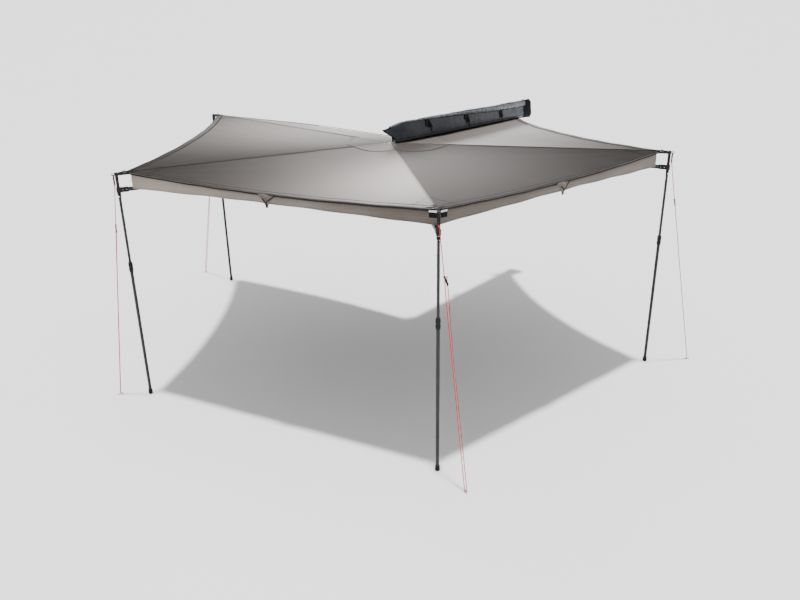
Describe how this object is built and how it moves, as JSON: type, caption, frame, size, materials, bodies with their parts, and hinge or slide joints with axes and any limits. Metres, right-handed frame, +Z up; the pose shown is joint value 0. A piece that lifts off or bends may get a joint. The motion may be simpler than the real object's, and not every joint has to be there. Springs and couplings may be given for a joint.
{
  "type": "vehicle side awning",
  "caption": "Wrap-round vehicle side awning on folding arms, with telescopic legs, guy ropes, fabric canopy and its open storage bag.",
  "frame": {"origin": "middle of the middle rack bracket's foot, on its underside, where the awning is bolted to a roof rack", "axes": "+X along the rail towards the vehicle's front, +Y towards the vehicle, +Z up; the ground lies 1.905 m below the origin"},
  "size_m": [4.9073, 5.6993, 2.3515],
  "materials": {
    "frame_metal": "black anodised, semi-gloss",
    "bracket_steel": "black powder coat",
    "plain_steel": "zinc plated",
    "black_plastic": "fine texture",
    "black_rubber": "matte",
    "canopy_cloth": "taupe ripstop polyester and cotton, water-resistant",
    "bag_cloth": "blue-grey coated tarpaulin cloth",
    "webbing": "black woven webbing",
    "rope": "coral red braid"
  },
  "bodies": {
    "root": {"rail": "frame_metal", "rail_cap_rear": "black_plastic", "rail_cap_front": "black_plastic", "rack_bracket_1": "bracket_steel", "rack_bracket_2": "bracket_steel", "rack_bracket_3": "bracket_steel", "hub_clevis": "bracket_steel", "king_pin": "plain_steel", "storage_bag": "bag_cloth", "bag_strap_1": "webbing", "bag_strap_2": "webbing", "bag_strap_3": "webbing"},
    "arm_1": {"arm_knuckle_1": "bracket_steel", "arm_beam_1": "frame_metal", "arm_rafter_1": "frame_metal", "tip_bracket_1": "frame_metal", "canopy_panel_1": "canopy_cloth", "guy_rope_1": "rope", "rope_slider_1": "black_plastic", "ground_peg_1": "plain_steel"},
    "leg_1": {"leg_inner_tube_1": "frame_metal"},
    "leg_lower_1": {"leg_outer_tube_1": "frame_metal", "leg_twist_lock_1": "black_plastic", "leg_foot_1": "black_rubber"},
    "arm_2": {"arm_knuckle_2": "bracket_steel", "arm_beam_2": "frame_metal", "arm_rafter_2": "frame_metal", "tip_bracket_2": "frame_metal", "canopy_panel_2": "canopy_cloth", "guy_rope_2": "rope", "rope_slider_2": "black_plastic", "ground_peg_2": "plain_steel"},
    "leg_2": {"leg_inner_tube_2": "frame_metal"},
    "leg_lower_2": {"leg_outer_tube_2": "frame_metal", "leg_twist_lock_2": "black_plastic", "leg_foot_2": "black_rubber"},
    "arm_3": {"arm_knuckle_3": "bracket_steel", "arm_beam_3": "frame_metal", "arm_rafter_3": "frame_metal", "tip_bracket_3": "frame_metal", "canopy_panel_3": "canopy_cloth", "guy_rope_3": "rope", "rope_slider_3": "black_plastic", "ground_peg_3": "plain_steel"},
    "leg_3": {"leg_inner_tube_3": "frame_metal"},
    "leg_lower_3": {"leg_outer_tube_3": "frame_metal", "leg_twist_lock_3": "black_plastic", "leg_foot_3": "black_rubber"},
    "arm_4": {"arm_knuckle_4": "bracket_steel", "arm_beam_4": "frame_metal", "arm_rafter_4": "frame_metal", "tip_bracket_4": "frame_metal", "canopy_panel_4": "canopy_cloth", "guy_rope_4": "rope", "rope_slider_4": "black_plastic", "ground_peg_4": "plain_steel"},
    "leg_4": {"leg_inner_tube_4": "frame_metal"},
    "leg_lower_4": {"leg_outer_tube_4": "frame_metal", "leg_twist_lock_4": "black_plastic", "leg_foot_4": "black_rubber"}
  },
  "joints": [
    {"name": "arm_1_swing", "type": "hinge", "parent": "root", "child": "arm_1", "pos_m": [-1.1825, -0.0823, 0.0201], "axis": [0, 0, 1], "range_deg": [0, 65.5], "deforming": ["canopy_panel_1", "storage_bag"]},
    {"name": "leg_1_fold", "type": "hinge", "parent": "arm_1", "child": "leg_1", "pos_m": [-0.21023, -2.41802, -0.06736], "axis": [0.9232, 0.3843, 0], "range_deg": [0, 88]},
    {"name": "leg_1_telescope", "type": "slide", "parent": "leg_1", "child": "leg_lower_1", "axis": [0, 0, 1], "range_m": [0, 0.55]},
    {"name": "arm_2_swing", "type": "hinge", "parent": "arm_1", "child": "arm_2", "pos_m": [-1.1825, -0.0823, -0.0246], "axis": [0, 0, 1], "range_deg": [0, 62.7], "deforming": ["canopy_panel_2"]},
    {"name": "leg_2_fold", "type": "hinge", "parent": "arm_2", "child": "leg_2", "pos_m": [-2.8754, -1.96246, -0.06736], "axis": [0.7431, -0.6691, 0], "range_deg": [0, 88]},
    {"name": "leg_2_telescope", "type": "slide", "parent": "leg_2", "child": "leg_lower_2", "axis": [0, 0, 1], "range_m": [0, 0.55]},
    {"name": "arm_3_swing", "type": "hinge", "parent": "arm_2", "child": "arm_3", "pos_m": [-1.1825, -0.0823, -0.0693], "axis": [0, 0, 1], "range_deg": [0, 65.7], "deforming": ["canopy_panel_3"]},
    {"name": "leg_3_fold", "type": "hinge", "parent": "arm_3", "child": "leg_3", "pos_m": [-3.56591, 0.76639, -0.06736], "axis": [-0.3355, -0.9421, 0], "range_deg": [0, 88]},
    {"name": "leg_3_telescope", "type": "slide", "parent": "leg_3", "child": "leg_lower_3", "axis": [0, 0, 1], "range_m": [0, 0.55]},
    {"name": "arm_4_swing", "type": "hinge", "parent": "arm_3", "child": "arm_4", "pos_m": [-1.1825, -0.0823, -0.114], "axis": [0, 0, 1], "range_deg": [0, 65.5], "deforming": ["canopy_panel_4"]},
    {"name": "leg_4_fold", "type": "hinge", "parent": "arm_4", "child": "leg_4", "pos_m": [-1.31491, 2.44423, -0.06736], "axis": [-0.9986, -0.0523, 0], "range_deg": [0, 88]},
    {"name": "leg_4_telescope", "type": "slide", "parent": "leg_4", "child": "leg_lower_4", "axis": [0, 0, 1], "range_m": [0, 0.55]}
  ]
}
